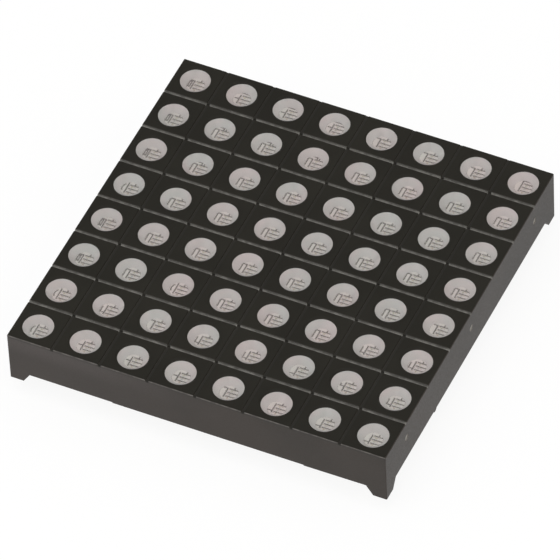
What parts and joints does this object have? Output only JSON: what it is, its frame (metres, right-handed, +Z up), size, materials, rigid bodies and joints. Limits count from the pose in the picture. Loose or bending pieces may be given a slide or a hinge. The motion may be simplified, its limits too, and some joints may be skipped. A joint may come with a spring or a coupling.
{
  "type": "led dot matrix",
  "caption": "Square LED dot-matrix display module: dark housing with round light windows on a grid, grooves between the cells, corner feet and two rows of pins.",
  "frame": {"origin": "under the middle of the module, level with the pin tips", "axes": "+Z up to the lit face, +X along the dot rows and the pin rows, +Y to the back wall"},
  "size_m": [0.0602, 0.0602, 0.0125],
  "materials": {
    "housing": "dark grey painted moulding, satin, pale inside the cups",
    "print": "matt warm black print",
    "board": "glass-fibre board",
    "plating": "pale plated copper",
    "red_chip": "smooth semiconductor",
    "green_chip": "smooth semiconductor",
    "blue_chip": "smooth semiconductor",
    "gold_wire": "bright fine wire",
    "epoxy": "clear cast resin, smooth",
    "resin": "poured resin, glossy",
    "solder": "bright solder",
    "pin": "tinned, smooth"
  },
  "bodies": {
    "root": {"reflector_housing": "housing", "face_print": "print", "circuit_board": "board", "plated_pads": "plating", "pin_lands": "plating", "red_chips": "red_chip", "green_chips": "green_chip", "blue_chips": "blue_chip", "red_bond_wires": "gold_wire", "green_bond_wires": "gold_wire", "blue_bond_wires": "gold_wire", "epoxy_row_1": "epoxy", "epoxy_row_2": "epoxy", "epoxy_row_3": "epoxy", "epoxy_row_4": "epoxy", "epoxy_row_5": "epoxy", "epoxy_row_6": "epoxy", "epoxy_row_7": "epoxy", "epoxy_row_8": "epoxy", "back_resin": "resin", "pin_solder": "solder", "pin_01": "pin", "pin_02": "pin", "pin_03": "pin", "pin_04": "pin", "pin_05": "pin", "pin_06": "pin", "pin_07": "pin", "pin_08": "pin", "pin_09": "pin", "pin_10": "pin", "pin_11": "pin", "pin_12": "pin", "pin_13": "pin", "pin_14": "pin", "pin_15": "pin", "pin_16": "pin", "pin_17": "pin", "pin_18": "pin", "pin_19": "pin", "pin_20": "pin", "pin_21": "pin", "pin_22": "pin", "pin_23": "pin", "pin_24": "pin", "pin_25": "pin", "pin_26": "pin", "pin_27": "pin", "pin_28": "pin", "pin_29": "pin", "pin_30": "pin", "pin_31": "pin", "pin_32": "pin"}
  },
  "joints": []
}
